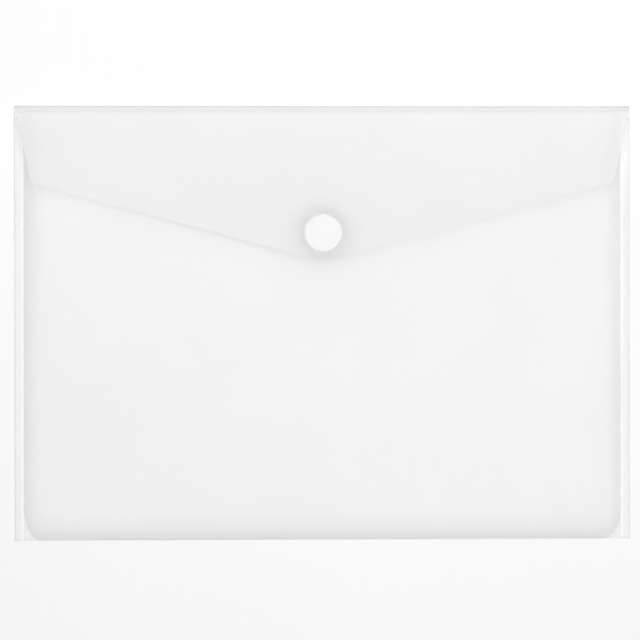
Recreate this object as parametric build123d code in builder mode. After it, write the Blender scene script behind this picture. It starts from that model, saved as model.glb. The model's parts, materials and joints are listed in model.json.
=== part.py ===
"""Frosted envelope wallet for A4 papers, lying on its back with the flap closed.

X runs across the width, Y from the bottom fold to the top fold, Z up out of the front.
The origin is on the table, under the middle of the wallet. Lengths are millimetres.
"""

import math
import os

from build123d import *

# The wallet and its sheet
wallet_width = 335.0
wallet_height = 236.0
sheet_thickness = 0.2

# The pocket between the two panels
pocket_depth = 4.6
mouth_setback = 6.0
weld_margin = 5.5
weld_edge_distance = 3.6
weld_width = 1.4
weld_thickness = 0.1
weld_imprint = 0.06
slope_run = 8.5
pocket_corner_radius = 11.5
fold_land = 1.0

# The two scored creases at the top
crease_clearance = 0.04
score_thickness = 0.1
spine_lean = 3.5
flap_lift = 0.4

# The flap
flap_base_inset = 1.0
flap_corner_inset = 9.8
flap_corner_depth = 42.7
flap_corner_radius = 4.5
flap_point_depth = 85.0
flap_tip_radius = 75.0
flap_knee_margin = 12.0
flap_bend_radius = 380.0

# The hook-and-loop coins
coin_diameter = 20.0
coin_point_distance = 15.5
adhesive_diameter = 19.0
adhesive_thickness = 0.15
tape_thickness = 0.35
root_thickness = 0.1
field_radius = 9.3
strand_pitch = 1.5
hook_height = 1.2
hook_reach = 0.75
hook_wire = 0.22
hook_drop = 0.5
hook_shoulder = 0.16
loop_height = 1.1
loop_span = 0.75
loop_wire = 0.2
loop_shoulder = 0.2
engagement = 0.7

# How far a cut runs past the face it opens
overrun = 2.0

# Levels of the pocket
rim_z = sheet_thickness + weld_thickness
rim_top_z = rim_z + sheet_thickness
ceiling_z = sheet_thickness + pocket_depth
front_z = ceiling_z + sheet_thickness

# The slope is an arc that meets the rim at a crease and runs level into the front
slope_rise = front_z - rim_top_z
slope_radius = (slope_run**2 + slope_rise**2) / (2 * slope_rise)
slope_overhang = slope_radius - slope_run

# Lines across the wallet
bottom_y = -wallet_height / 2
top_y = wallet_height / 2
fold_radius = rim_top_z / 2
fold_y = bottom_y + fold_radius
mouth_y = top_y - mouth_setback
form_width = wallet_width - 2 * weld_margin + 2 * slope_overhang
form_bottom_y = fold_y + fold_land - slope_overhang

# The creases
crease_radius = sheet_thickness / 2
lower_crease = (top_y - crease_radius, crease_radius)
upper_crease = (top_y - crease_radius - spine_lean, front_z + flap_lift)
spine_angle = math.atan2(upper_crease[1] - lower_crease[1], upper_crease[0] - lower_crease[0])
# The sheets stop short of the beads, so that their corners stay clear of each other when shut
crease_reach = crease_radius / math.tan((math.pi - spine_angle) / 2) + crease_clearance
spine_step = (crease_reach * math.cos(spine_angle), crease_reach * math.sin(spine_angle))
spine_foot = (lower_crease[0] + spine_step[0], lower_crease[1] + spine_step[1])
spine_head = (upper_crease[0] - spine_step[0], upper_crease[1] - spine_step[1])

# The coins, stacked from the front panel up to the flap
coin_y = top_y - flap_point_depth + coin_point_distance
hook_tape_z = front_z + adhesive_thickness
hook_root_z = hook_tape_z + tape_thickness
hook_base_z = hook_root_z + root_thickness
loop_base_z = hook_base_z + hook_height + loop_height - engagement
loop_root_z = loop_base_z + root_thickness
loop_tape_z = loop_root_z + tape_thickness
flap_under_z = loop_tape_z + adhesive_thickness
flap_level_z = flap_under_z + sheet_thickness / 2


def pocket_form(inset: float, mouth_overrun: float) -> Part:
    """A block whose upper edges are rounded over on three sides, set in from the outer skin."""
    radius = slope_radius - inset
    with BuildPart() as form:
        with BuildSketch(Plane.XY.offset(front_z - slope_radius - overrun)) as plan:
            with Locations((0, mouth_y + mouth_overrun)):
                Rectangle(
                    form_width - 2 * inset,
                    mouth_y + mouth_overrun - form_bottom_y - inset,
                    align=(Align.CENTER, Align.MAX),
                )
            fillet(plan.vertices().group_by(Axis.Y)[0], radius=pocket_corner_radius - inset)
        extrude(amount=slope_radius + overrun - inset)
        rounded = form.edges().group_by(Axis.Z)[-1].sort_by(Axis.Y)[:-1]
        fillet(rounded, radius=radius)
    return form.part


outer_form = pocket_form(0, 0)
inner_form = pocket_form(sheet_thickness, overrun)

# Back panel, from the bottom fold to the lower crease
with BuildPart() as back_panel:
    with BuildSketch(Plane.XY):
        with Locations((0, fold_y)):
            Rectangle(
                wallet_width,
                lower_crease[0] - crease_reach - fold_y,
                align=(Align.CENTER, Align.MIN),
            )
    extrude(amount=sheet_thickness)

# Bottom fold, where the sheet turns from the back to the front
with BuildPart() as bottom_fold:
    with BuildSketch(Plane.YZ):
        with Locations((fold_y, fold_radius)):
            Circle(fold_radius)
            Circle(fold_radius - sheet_thickness, mode=Mode.SUBTRACT)
            Rectangle(
                fold_radius + overrun,
                2 * fold_radius + overrun,
                align=(Align.MIN, Align.CENTER),
                mode=Mode.SUBTRACT,
            )
    extrude(amount=wallet_width / 2, both=True)

# Front panel: a flat rim at the sides and a raised, round-edged pocket
weld_x = wallet_width / 2 - weld_edge_distance - weld_width / 2
weld_length = mouth_y - fold_y
with BuildPart() as front_panel:
    with BuildSketch(Plane.XY.offset(rim_z)):
        with Locations((0, fold_y)):
            Rectangle(wallet_width, mouth_y - fold_y, align=(Align.CENTER, Align.MIN))
    extrude(amount=sheet_thickness)
    add(outer_form)
    split(bisect_by=Plane.XY.offset(rim_z), keep=Keep.TOP)
    add(inner_form, mode=Mode.SUBTRACT)
    # The sealing bar leaves a shallow groove over each weld
    with BuildSketch(Plane.XY.offset(rim_top_z)):
        with Locations((-weld_x, fold_y), (weld_x, fold_y)):
            Rectangle(weld_width, weld_length, align=(Align.CENTER, Align.MIN))
    extrude(amount=-weld_imprint, mode=Mode.SUBTRACT)

# Side welds, the fused lines between the two panels
with BuildPart() as left_side_weld:
    with BuildSketch(Plane.XY.offset(sheet_thickness)):
        with Locations((-weld_x, fold_y)):
            Rectangle(weld_width, weld_length, align=(Align.CENTER, Align.MIN))
    extrude(amount=weld_thickness)

with BuildPart() as right_side_weld:
    with BuildSketch(Plane.XY.offset(sheet_thickness)):
        with Locations((weld_x, fold_y)):
            Rectangle(weld_width, weld_length, align=(Align.CENTER, Align.MIN))
    extrude(amount=weld_thickness)

# Lower crease: a bead on the hinge line with a thin scored web to the back panel
with BuildPart() as lower_bead:
    with BuildSketch(Plane.YZ):
        with Locations(lower_crease):
            Circle(crease_radius)
            Rectangle(crease_reach, score_thickness, align=(Align.MAX, Align.CENTER))
    extrude(amount=wallet_width / 2, both=True)

# Spine strip, leaning back between the two creases
with BuildPart() as spine_strip:
    with BuildSketch(Plane.YZ):
        with BuildLine():
            Line(spine_foot, spine_head)
        trace(line_width=sheet_thickness)
    extrude(amount=wallet_width / 2, both=True)

# Upper crease: a bead on the flap's hinge line with a thin scored web to the spine
with BuildPart() as upper_bead:
    with BuildSketch(Plane.YZ):
        with BuildLine():
            Line(spine_head, upper_crease)
        trace(line_width=score_thickness)
        with Locations(upper_crease):
            Circle(crease_radius)
    extrude(amount=wallet_width / 2, both=True)

# Flap panel: rises from the crease, levels out over the coins and ends in a shallow V
flap_knee = (coin_y + coin_diameter / 2 + flap_knee_margin, flap_level_z)
flap_slope = math.atan2(flap_knee[1] - upper_crease[1], upper_crease[0] - flap_knee[0])
flap_start = (
    upper_crease[0] - crease_reach * math.cos(flap_slope),
    upper_crease[1] + crease_reach * math.sin(flap_slope),
)
flap_end = (top_y - flap_point_depth, flap_level_z)
base_x = wallet_width / 2 - flap_base_inset
corner_x = wallet_width / 2 - flap_corner_inset
with BuildPart() as flap_panel:
    with BuildSketch(Plane.YZ):
        with BuildLine():
            FilletPolyline(flap_start, flap_knee, flap_end, radius=flap_bend_radius)
        trace(line_width=sheet_thickness)
    extrude(amount=wallet_width / 2, both=True)
    with BuildSketch() as flap_outline:
        with BuildLine():
            Polyline(
                (-base_x, top_y),
                (base_x, top_y),
                (corner_x, top_y - flap_corner_depth),
                (0, top_y - flap_point_depth),
                (-corner_x, top_y - flap_corner_depth),
                close=True,
            )
        make_face()
        fillet(flap_outline.vertices().sort_by(Axis.Y)[:1], radius=flap_tip_radius)
        corners = flap_outline.vertices().filter_by_position(
            Axis.Y,
            top_y - flap_corner_depth - crease_radius,
            top_y - flap_corner_depth + crease_radius,
        )
        fillet(corners, radius=flap_corner_radius)
    extrude(amount=flap_level_z + overrun, mode=Mode.INTERSECT)

# Hook coin on the front panel
with BuildPart() as hook_adhesive:
    with BuildSketch(Plane.XY.offset(front_z)):
        with Locations((0, coin_y)):
            Circle(adhesive_diameter / 2)
    extrude(amount=adhesive_thickness)

with BuildPart() as hook_tape:
    with BuildSketch(Plane.XY.offset(hook_tape_z)):
        with Locations((0, coin_y)):
            Circle(coin_diameter / 2)
    extrude(amount=tape_thickness)

# One hook: a stem that bends over at the top and comes part of the way down again
with BuildPart() as hook:
    with BuildSketch(Plane.XZ):
        with BuildLine(Location((-hook_reach / 2, 0))):
            Polyline(
                (0, -root_thickness / 2),
                (0, hook_height - hook_shoulder),
                (hook_shoulder, hook_height),
                (hook_reach - hook_shoulder, hook_height),
                (hook_reach, hook_height - hook_shoulder),
                (hook_reach, hook_height - hook_drop),
                (hook_reach - hook_wire, hook_height - hook_drop),
                (hook_reach - hook_wire, hook_height - hook_wire),
                (hook_wire, hook_height - hook_wire),
                (hook_wire, -root_thickness / 2),
                close=True,
            )
        make_face()
    extrude(amount=hook_wire / 2, both=True)

# Hooks stand on a square grid, and every second row faces the other way
steps = int(field_radius // strand_pitch)
hook_spots = [
    Location((column * strand_pitch, coin_y + row * strand_pitch, hook_base_z), (0, 0, 180 * (row % 2)))
    for row in range(-steps, steps + 1)
    for column in range(-steps, steps + 1)
    if math.hypot(column, row) * strand_pitch <= field_radius
]
with BuildPart() as hook_filaments:
    with BuildSketch(Plane.XY.offset(hook_root_z)):
        with Locations((0, coin_y)):
            Circle(coin_diameter / 2)
    extrude(amount=root_thickness)
    with Locations(*hook_spots):
        add(hook.part)

# Loop coin under the flap
with BuildPart() as loop_adhesive:
    with BuildSketch(Plane.XY.offset(loop_tape_z)):
        with Locations((0, coin_y)):
            Circle(adhesive_diameter / 2)
    extrude(amount=adhesive_thickness)

with BuildPart() as loop_tape:
    with BuildSketch(Plane.XY.offset(loop_root_z)):
        with Locations((0, coin_y)):
            Circle(coin_diameter / 2)
    extrude(amount=tape_thickness)

# One loop: an arch that hangs down from the tape, standing across the hooks
with BuildPart() as loop:
    with BuildSketch(Plane.YZ):
        with BuildLine(Location((-loop_span / 2, 0))):
            Polyline(
                (0, root_thickness / 2),
                (0, loop_shoulder - loop_height),
                (loop_shoulder, -loop_height),
                (loop_span - loop_shoulder, -loop_height),
                (loop_span, loop_shoulder - loop_height),
                (loop_span, root_thickness / 2),
                (loop_span - loop_wire, root_thickness / 2),
                (loop_span - loop_wire, loop_wire - loop_height),
                (loop_wire, loop_wire - loop_height),
                (loop_wire, root_thickness / 2),
                close=True,
            )
        make_face()
    extrude(amount=loop_wire / 2, both=True)

# Loops hang in the middle of each square of hooks, so nothing touches when the flap is shut
half_share = 0.5
loop_spots = [
    Location(
        (
            (column + half_share) * strand_pitch,
            coin_y + (row + half_share) * strand_pitch,
            loop_base_z,
        )
    )
    for row in range(-steps - 1, steps + 1)
    for column in range(-steps - 1, steps + 1)
    if math.hypot(column + half_share, row + half_share) * strand_pitch <= field_radius
]
with BuildPart() as loop_pile:
    with BuildSketch(Plane.XY.offset(loop_base_z)):
        with Locations((0, coin_y)):
            Circle(coin_diameter / 2)
    extrude(amount=root_thickness)
    with Locations(*loop_spots):
        add(loop.part)

pieces = {
    "back_panel": back_panel,
    "bottom_fold": bottom_fold,
    "front_panel": front_panel,
    "left_side_weld": left_side_weld,
    "right_side_weld": right_side_weld,
    "lower_crease": lower_bead,
    "spine_strip": spine_strip,
    "upper_crease": upper_bead,
    "flap_panel": flap_panel,
    "hook_adhesive": hook_adhesive,
    "hook_tape": hook_tape,
    "hook_filaments": hook_filaments,
    "loop_adhesive": loop_adhesive,
    "loop_tape": loop_tape,
    "loop_pile": loop_pile,
}
os.makedirs("parts", exist_ok=True)
for name, piece in pieces.items():
    piece.part.label = name
    export_step(piece.part, f"parts/{name}.step")
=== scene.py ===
"""Looks of a document wallet: one frosted film, scored, folded and welded, closed by two coins.

Sizes are in metres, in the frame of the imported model: +X across the wallet, +Y towards its top
fold and +Z up out of its front.
"""

import json
import logging
import math
import random
from collections.abc import Callable, Mapping, Sequence
from dataclasses import dataclass
from enum import Enum
from typing import ClassVar

import bpy
from mathutils import Matrix, Vector


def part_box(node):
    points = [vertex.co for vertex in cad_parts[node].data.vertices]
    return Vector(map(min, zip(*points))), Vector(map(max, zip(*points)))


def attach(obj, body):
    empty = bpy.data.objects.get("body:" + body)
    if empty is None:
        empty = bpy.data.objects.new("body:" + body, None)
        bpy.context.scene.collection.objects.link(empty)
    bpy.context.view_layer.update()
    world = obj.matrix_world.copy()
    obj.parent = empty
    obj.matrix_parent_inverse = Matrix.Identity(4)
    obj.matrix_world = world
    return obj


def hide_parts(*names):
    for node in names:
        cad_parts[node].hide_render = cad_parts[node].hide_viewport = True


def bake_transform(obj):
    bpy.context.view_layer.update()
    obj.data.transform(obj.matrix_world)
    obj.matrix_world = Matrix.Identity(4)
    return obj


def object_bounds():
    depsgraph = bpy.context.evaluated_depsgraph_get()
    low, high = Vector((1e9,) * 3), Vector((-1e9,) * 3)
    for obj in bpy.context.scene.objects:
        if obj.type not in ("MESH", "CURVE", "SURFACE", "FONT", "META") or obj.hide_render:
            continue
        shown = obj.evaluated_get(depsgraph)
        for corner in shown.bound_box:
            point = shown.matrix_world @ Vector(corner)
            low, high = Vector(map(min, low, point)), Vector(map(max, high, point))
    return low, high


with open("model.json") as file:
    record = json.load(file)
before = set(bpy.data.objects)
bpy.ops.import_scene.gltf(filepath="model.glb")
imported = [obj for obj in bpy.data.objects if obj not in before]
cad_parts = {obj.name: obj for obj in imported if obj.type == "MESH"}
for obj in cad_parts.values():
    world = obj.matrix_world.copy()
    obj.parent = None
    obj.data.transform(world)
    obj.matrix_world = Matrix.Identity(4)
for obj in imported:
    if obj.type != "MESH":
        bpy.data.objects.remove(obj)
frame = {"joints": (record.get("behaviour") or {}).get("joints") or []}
CAD_LOW, CAD_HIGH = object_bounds()

LOG = logging.getLogger("wallet")
MM = 0.001
BEND = "bend"
# The finishes of a wall come in pairs, for its outer and its inner face
WALL_FACES = 2
Piece = bpy.types.Object
Material = bpy.types.Material
Tree = bpy.types.NodeTree
Node = bpy.types.Node
Socket = bpy.types.NodeSocket
Inputs = Mapping[str | int, object]
Triple = tuple[float, float, float]
Place = Callable[[float, float], Vector]


class Body(Enum):
    """The bodies that the pieces ride on."""

    POCKET = "pocket"
    SPINE = "spine"
    FLAP = "flap"


class Slot(Enum):
    """The record's material slots."""

    SHEET = "frosted_sheet"
    WELD = "weld"
    CREASE = "crease"
    ADHESIVE = "adhesive"
    TAPE = "coin_tape"
    HOOKS = "hooks"
    LOOPS = "loops"


class Side(Enum):
    """The two sides of the wallet, by the sign of X."""

    LEFT = -1
    RIGHT = 1


def smooth_share(value: float, start: float, end: float) -> float:
    """Rise smoothly from 0 at start to 1 at end."""
    share = min(1.0, max(0.0, (value - start) / (end - start)))
    return share * share * (3 - 2 * share)


def stations(*spans: tuple[float, float, float]) -> list[float]:
    """Spread grid lines over spans that follow one another.

    Args:
        spans: The start, the end and the widest step of each span.

    Returns:
        The places of the lines, with the ends of every span among them.
    """
    places = [spans[0][0]]
    for start, end, step in spans:
        count = max(1, round(abs(end - start) / step))
        places += [start + (end - start) * i / count for i in range(1, count + 1)]
    return places


def mirrored(half: Sequence[float]) -> list[float]:
    """Carry stations that run from the left edge to the middle on to the right edge."""
    return [*half, *(-place for place in reversed(half[:-1]))]


def rounded_corner(
    before: Vector, corner: Vector, after: Vector, radius: float, steps: int
) -> list[Vector]:
    """Round a corner off with an arc.

    Args:
        before: A point on the line that comes to the corner.
        corner: The sharp corner.
        after: A point on the line that leaves the corner.
        radius: The radius of the arc.
        steps: The number of steps along the arc.

    Returns:
        The points of the arc, from the first line to the second.
    """
    back = (before - corner).normalized()
    ahead = (after - corner).normalized()
    half = back.angle(ahead) / 2
    reach = radius / math.tan(half)
    centre = corner + (back + ahead).normalized() * (radius / math.sin(half))
    first = (corner + back * reach - centre).normalized()
    last = (corner + ahead * reach - centre).normalized()
    return [centre + first.slerp(last, i / steps) * radius for i in range(steps + 1)]


def joint_place(name: str) -> Vector:
    """The point that a joint turns about."""
    return Vector(next(joint["pos_m"] for joint in frame["joints"] if joint["name"] == name))


def deselect_all() -> None:
    """Clear the selection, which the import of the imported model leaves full."""
    bpy.ops.object.select_all(action="DESELECT")


def select_only(piece: Piece, *others: Piece) -> None:
    """Make a piece active and select it, with others or by itself.

    Args:
        piece: The piece that becomes active.
        others: The pieces that are selected with it.
    """
    deselect_all()
    for chosen in (piece, *others):
        chosen.select_set(True)
    bpy.context.view_layer.objects.active = piece


def leave_edit() -> None:
    """Go back to object mode."""
    bpy.ops.object.mode_set(mode="OBJECT")


def select_faces(piece: Piece, wanted: Callable[[bpy.types.MeshPolygon], bool]) -> None:
    """Go into edit mode with just the wanted faces selected.

    Args:
        piece: The piece to edit.
        wanted: Tells whether a face is wanted.
    """
    select_only(piece)
    bpy.context.tool_settings.mesh_select_mode = (False, False, True)
    bpy.ops.object.mode_set(mode="EDIT")
    bpy.ops.mesh.select_all(action="DESELECT")
    leave_edit()
    for face in piece.data.polygons:
        face.select = wanted(face)
    bpy.ops.object.mode_set(mode="EDIT")


def new_primitive(name: str) -> Piece:
    """Name the primitive that was just added and put its place into its mesh.

    Args:
        name: The name of the piece.

    Returns:
        The piece, at the origin, unturned and unscaled.
    """
    piece = bpy.context.object
    piece.name = name
    piece.data.name = name
    bpy.ops.object.transform_apply(location=True, rotation=True, scale=True)
    return piece


def apply_modifier(piece: Piece, name: str, kind: str, **settings: object) -> None:
    """Add a modifier with its settings and apply it.

    Args:
        piece: The piece that it shapes.
        name: The name of the modifier.
        kind: Its type.
        settings: The values of its properties.
    """
    select_only(piece)
    modifier = piece.modifiers.new(name, kind)
    for key, value in settings.items():
        setattr(modifier, key, value)
    bpy.ops.object.modifier_apply(modifier=modifier.name)


def formed_grid(name: str, columns: Sequence[float], rows: Sequence[float], place: Place) -> Piece:
    """Add a grid with a line at each station and form it over a surface.

    Args:
        name: The name of the piece.
        columns: The stations across.
        rows: The stations along.
        place: Gives the point of the surface for a station across and a station along.

    Returns:
        The formed grid, still without thickness.
    """
    across, along = len(columns) - 1, len(rows) - 1
    deselect_all()
    bpy.ops.mesh.primitive_grid_add(x_subdivisions=across, y_subdivisions=along, size=1.0)
    piece = new_primitive(name)
    for vertex in piece.data.vertices:
        column = round((vertex.co.x + 0.5) * across)
        row = round((vertex.co.y + 0.5) * along)
        vertex.co = place(columns[column], rows[row])
    piece.data.update()
    return piece


def block(name: str, centre: Triple, size: Triple) -> Piece:
    """Add a rectangular block.

    Args:
        name: The name of the piece.
        centre: Its centre.
        size: Its size along each axis.

    Returns:
        The block, with sharp edges.
    """
    deselect_all()
    bpy.ops.mesh.primitive_cube_add(size=1.0, location=centre, scale=size)
    return new_primitive(name)


def eased_disc(
    name: str, foot: Vector, top_z: float, radius: float, sides: int, bevel: float, steps: int
) -> Piece:
    """Turn a round layer with eased edges.

    Args:
        name: The name of the piece.
        foot: The centre of its lower face.
        top_z: The height of its upper face.
        radius: Its radius.
        sides: The number of its sides.
        bevel: The width of the eased edge.
        steps: The number of steps across the eased edge.

    Returns:
        The layer, without a finish.
    """
    deselect_all()
    bpy.ops.mesh.primitive_cylinder_add(
        vertices=sides,
        radius=radius,
        depth=top_z - foot.z,
        location=(foot.x, foot.y, (foot.z + top_z) / 2),
    )
    piece = new_primitive(name)
    apply_modifier(piece, "ease", "BEVEL", width=bevel, segments=steps, limit_method="ANGLE")
    return piece


def mark_bends(piece: Piece) -> None:
    """Note on each vertex how far the film is tilted out of the flat.

    Args:
        piece: The formed grid.
    """
    # The tilt is the mask for painted shade on the slopes
    bends = piece.data.attributes.new(BEND, "FLOAT", "POINT")
    for vertex in piece.data.vertices:
        bends.data[vertex.index].value = 1 - abs(vertex.normal.z)


def thicken(piece: Piece, thickness: float, *materials: Material) -> None:
    """Give a formed grid its finishes and its wall, half to each side.

    Args:
        piece: The formed grid.
        thickness: The thickness of the wall.
        materials: The finishes, each followed by the one on the face behind it.
    """
    for material in materials:
        piece.data.materials.append(material)
    wall = {"thickness": thickness, "offset": 0.0, "use_even_offset": True, "material_offset": 1}
    apply_modifier(piece, "wall", "SOLIDIFY", **wall)


def turn_over(piece: Piece) -> None:
    """Turn the faces of a formed grid, so that its outer side is the one that faces down.

    Args:
        piece: The formed grid.
    """
    select_faces(piece, lambda face: True)
    bpy.ops.mesh.flip_normals()
    leave_edit()


def smooth(piece: Piece, angle_deg: float = 35.0) -> None:
    """Shade a piece smooth, apart from edges that are sharper than the angle."""
    select_only(piece)
    bpy.ops.object.shade_smooth_by_angle(angle=math.radians(angle_deg))


def dress(piece: Piece, slot: Slot, replaced: Sequence[str], *materials: Material) -> None:
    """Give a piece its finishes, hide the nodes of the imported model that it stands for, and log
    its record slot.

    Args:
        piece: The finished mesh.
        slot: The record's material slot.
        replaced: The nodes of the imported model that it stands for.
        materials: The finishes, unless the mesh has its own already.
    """
    for material in materials:
        piece.data.materials.append(material)
    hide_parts(*replaced)
    LOG.info("%s: %d faces, %s", piece.name, len(piece.data.polygons), slot.value)


def feed(tree: Tree, node: Node, inputs: Inputs) -> None:
    """Give a node its inputs.

    Args:
        tree: The nodes that it is one of.
        node: The node.
        inputs: A value, or the socket that is read, for each input by its name or number.
    """
    for label, given in inputs.items():
        if isinstance(given, Socket):
            tree.links.new(given, node.inputs[label])
        else:
            node.inputs[label].default_value = given


def add_node(tree: Tree, kind: str, inputs: Inputs, **settings: object) -> Node:
    """Add a shader node.

    Args:
        tree: The nodes that it joins.
        kind: Its type, without the prefix that all of them have.
        inputs: A value, or the socket that is read, for each input by its name or number.
        settings: Its own properties, which are set first.

    Returns:
        The node.
    """
    node = tree.nodes.new(f"ShaderNode{kind}")
    for name, setting in settings.items():
        setattr(node, name, setting)
    feed(tree, node, inputs)
    return node


@dataclass
class Effects:
    """Node groups that several finishes share, each built once."""

    noise_low: float = 0.3
    noise_high: float = 0.7
    cloud_detail: float = 3.0
    line_detail: float = 2.0
    grain_detail: float = 4.0
    line_share: float = 0.35
    thread_wander: float = 0.6

    def __post_init__(self) -> None:
        """Build the groups."""
        self.grain = self.build_grain()
        self.weave = self.build_weave()

    @staticmethod
    def group(name: str, inputs: Mapping[str, str], outputs: Mapping[str, str]) -> Tree:
        """Start a shader node group with its sockets.

        Args:
            name: The name of the group.
            inputs: The kind of each input, by its name.
            outputs: The kind of each output, by its name.

        Returns:
            The group, with its input and output nodes in it.
        """
        tree = bpy.data.node_groups.new(name, "ShaderNodeTree")
        for way, sockets in (("INPUT", inputs), ("OUTPUT", outputs)):
            for label, kind in sockets.items():
                tree.interface.new_socket(label, in_out=way, socket_type=f"NodeSocket{kind}")
        tree.nodes.new("NodeGroupInput").name = "in"
        tree.nodes.new("NodeGroupOutput").name = "out"
        return tree

    @staticmethod
    def noise(tree: Tree, vector: Socket, scale: Socket, detail: float) -> Socket:
        """Add a noise texture.

        Args:
            tree: The group that holds it.
            vector: Where it is read.
            scale: The socket that gives its scale.
            detail: Its octaves.

        Returns:
            The socket with its value, around 0.5.
        """
        inputs = {"Vector": vector, "Scale": scale, "Detail": detail}
        return add_node(tree, "TexNoise", inputs).outputs["Fac"]

    def ranged(self, tree: Tree, value: Socket, *ends: Socket) -> Socket:
        """Map the middle of a noise to a range, which is 0 to 1 unless its ends are given.

        Args:
            tree: The group that holds the node.
            value: The noise.
            ends: The sockets that give the low and the high end.

        Returns:
            The socket with the mapped value.
        """
        inputs = {"Value": value, "From Min": self.noise_low, "From Max": self.noise_high}
        inputs.update(zip(("To Min", "To Max"), ends))
        return add_node(tree, "MapRange", inputs).outputs["Result"]

    @staticmethod
    def tint(tree: Tree, factor: Socket) -> Socket:
        """Mix a group's dark colour with its light one.

        Args:
            tree: The group.
            factor: The share of the light colour.

        Returns:
            The socket with the mixed colour.
        """
        given = tree.nodes["in"].outputs
        inputs = {"Factor": factor, "A": given["Dark"], "B": given["Light"]}
        return add_node(tree, "Mix", inputs, data_type="RGBA").outputs["Result"]

    def build_grain(self) -> Tree:
        """Clouds, roll lines and a sand grain, as on extruded film and moulded plastic.

        Returns:
            The group, with Color, Roughness and Height outputs.
        """
        inputs = {"Vector": "Vector", "Stretched": "Vector", "Dark": "Color", "Light": "Color"}
        for label in ("Grain Scale", "Line Scale", "Cloud Scale", "Smoothest", "Roughest"):
            inputs[label] = "Float"
        outputs = {"Color": "Color", "Roughness": "Float", "Height": "Float"}
        tree = self.group("grain", inputs, outputs)
        given = tree.nodes["in"].outputs
        clouds = self.noise(tree, given["Vector"], given["Cloud Scale"], self.cloud_detail)
        lines = self.noise(tree, given["Stretched"], given["Line Scale"], self.line_detail)
        sand = self.noise(tree, given["Vector"], given["Grain Scale"], self.grain_detail)
        relief = {0: lines, 1: self.line_share, 2: sand}
        found = {
            "Color": self.tint(tree, self.ranged(tree, clouds)),
            "Roughness": self.ranged(tree, lines, given["Smoothest"], given["Roughest"]),
            "Height": add_node(tree, "Math", relief, operation="MULTIPLY_ADD").outputs["Value"],
        }
        feed(tree, tree.nodes["out"], found)
        return tree

    def build_weave(self) -> Tree:
        """Plain weave, over and under in both directions, coloured darker where the threads sink:
        painted shade in the hollows.

        Returns:
            The group, with Color and Height outputs.
        """
        inputs = {"Vector": "Vector", "Thread Scale": "Float", "Dark": "Color", "Light": "Color"}
        tree = self.group("weave", inputs, {"Color": "Color", "Height": "Float"})
        given = tree.nodes["in"].outputs
        threads = {
            "Vector": given["Vector"],
            "Scale": given["Thread Scale"],
            "Distortion": self.thread_wander,
        }
        bands = {}
        for number, way in enumerate("XY"):
            wave = add_node(tree, "TexWave", threads, bands_direction=way)
            bands[number] = wave.outputs["Fac"]
        height = add_node(tree, "Math", bands, operation="MULTIPLY").outputs["Value"]
        # Painted shade: the colour follows the height, darker in the hollows between threads
        feed(tree, tree.nodes["out"], {"Color": self.tint(tree, height), "Height": height})
        return tree


def new_material(name: str) -> tuple[Material, Tree, Node]:
    """Start a material.

    Args:
        name: Its name.

    Returns:
        The material, its nodes and the shader of its surface.
    """
    made = bpy.data.materials.new(name)
    made.use_nodes = True
    return made, made.node_tree, made.node_tree.nodes["Principled BSDF"]


def cover_with(tree: Tree, shader: Node, effect: Node, depth: float, strength: float) -> None:
    """Give a surface the colour and the relief that a shared effect puts out.

    Args:
        tree: The material's nodes.
        shader: The shader of the surface.
        effect: The node that holds the effect.
        depth: The depth of the relief.
        strength: How strongly the relief shows.
    """
    relief = {"Strength": strength, "Distance": depth, "Height": effect.outputs["Height"]}
    normal = add_node(tree, "Bump", relief).outputs["Normal"]
    feed(tree, shader, {"Base Color": effect.outputs["Color"], "Normal": normal})


def pass_light(tree: Tree, shader: Node, colour: Triple, share: float) -> None:
    """Mix in light that comes through a surface from behind.

    Args:
        tree: The material's nodes.
        shader: The shader of the surface itself.
        colour: The colour of the light that comes through.
        share: How much of it is mixed in.
    """
    through = add_node(tree, "BsdfTranslucent", {"Color": (*colour, 1.0)})
    inputs = {"Fac": share, 1: shader.outputs["BSDF"], 2: through.outputs["BSDF"]}
    mix = add_node(tree, "MixShader", inputs)
    feed(tree, tree.nodes["Material Output"], {"Surface": mix.outputs["Shader"]})


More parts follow.
